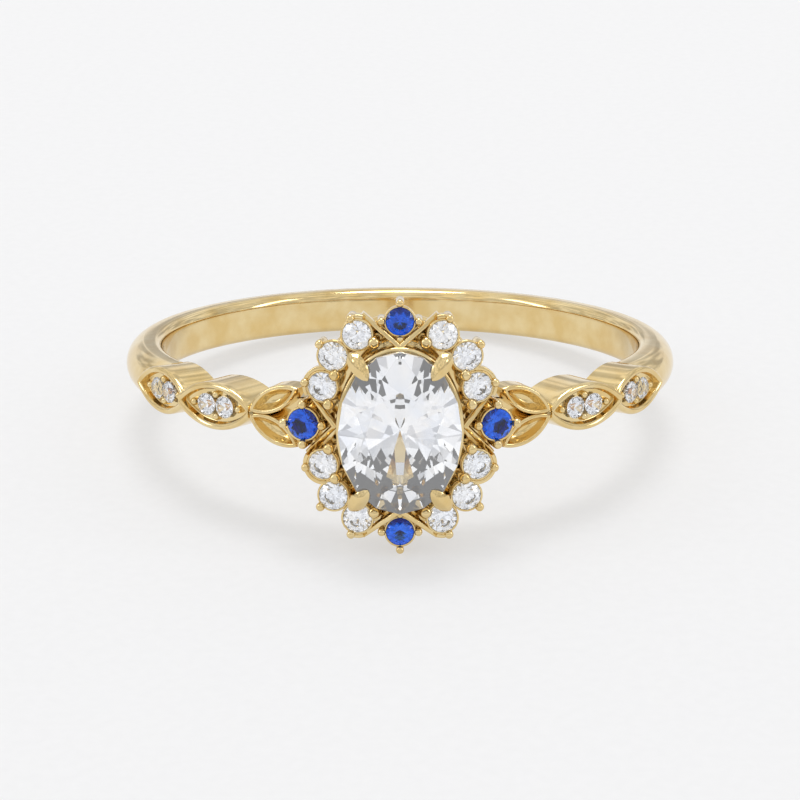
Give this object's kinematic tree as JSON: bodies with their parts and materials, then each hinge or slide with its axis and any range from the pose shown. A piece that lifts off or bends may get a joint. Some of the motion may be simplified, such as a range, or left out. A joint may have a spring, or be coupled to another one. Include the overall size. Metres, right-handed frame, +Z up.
{
  "type": "engagement ring",
  "caption": "Yellow gold cluster ring: oval centre stone in four claws, round halo with four blue accents, marquise and leaf shoulders.",
  "frame": {"origin": "centre of the finger bore", "axes": "the ring lies on its side as it rests on a table: +Z up, the head faces -Y, +X to the right of someone who faces the head; the finger axis leans from +Z towards +Y by the rest angle"},
  "size_m": [0.0196, 0.0219, 0.0084],
  "materials": {
    "gold": "polished 18 carat yellow gold",
    "diamond": "polished colourless brilliant-cut stone",
    "sapphire": "polished blue brilliant-cut stone"
  },
  "bodies": {
    "root": {"base_rail": "gold", "bridge": "gold", "centre_diamond": "diamond", "chevron_left": "gold", "chevron_lower": "gold", "chevron_right": "gold", "chevron_upper": "gold", "claw_lower_left": "gold", "claw_lower_right": "gold", "claw_upper_left": "gold", "claw_upper_right": "gold", "halo_diamond_far_lower_left": "diamond", "halo_diamond_far_lower_right": "diamond", "halo_diamond_far_upper_left": "diamond", "halo_diamond_far_upper_right": "diamond", "halo_diamond_middle_lower_left": "diamond", "halo_diamond_middle_lower_right": "diamond", "halo_diamond_middle_upper_left": "diamond", "halo_diamond_middle_upper_right": "diamond", "halo_diamond_near_lower_left": "diamond", "halo_diamond_near_lower_right": "diamond", "halo_diamond_near_upper_left": "diamond", "halo_diamond_near_upper_right": "diamond", "halo_lower_left_setting": "gold", "halo_lower_right_setting": "gold", "halo_rail": "gold", "halo_upper_left_setting": "gold", "halo_upper_right_setting": "gold", "inner_marquise_left": "gold", "inner_marquise_right": "gold", "leaf_lower_left": "gold", "leaf_lower_right": "gold", "leaf_upper_left": "gold", "leaf_upper_right": "gold", "outer_marquise_left": "gold", "outer_marquise_right": "gold", "sapphire_left": "sapphire", "sapphire_left_setting": "gold", "sapphire_lower": "sapphire", "sapphire_lower_setting": "gold", "sapphire_right": "sapphire", "sapphire_right_setting": "gold", "sapphire_upper": "sapphire", "sapphire_upper_setting": "gold", "seat_rim": "gold", "shank": "gold", "shoulder_diamond_inner_left_1": "diamond", "shoulder_diamond_inner_left_2": "diamond", "shoulder_diamond_inner_right_1": "diamond", "shoulder_diamond_inner_right_2": "diamond", "shoulder_diamond_outer_left_1": "diamond", "shoulder_diamond_outer_left_2": "diamond", "shoulder_diamond_outer_right_1": "diamond", "shoulder_diamond_outer_right_2": "diamond"}
  },
  "joints": []
}
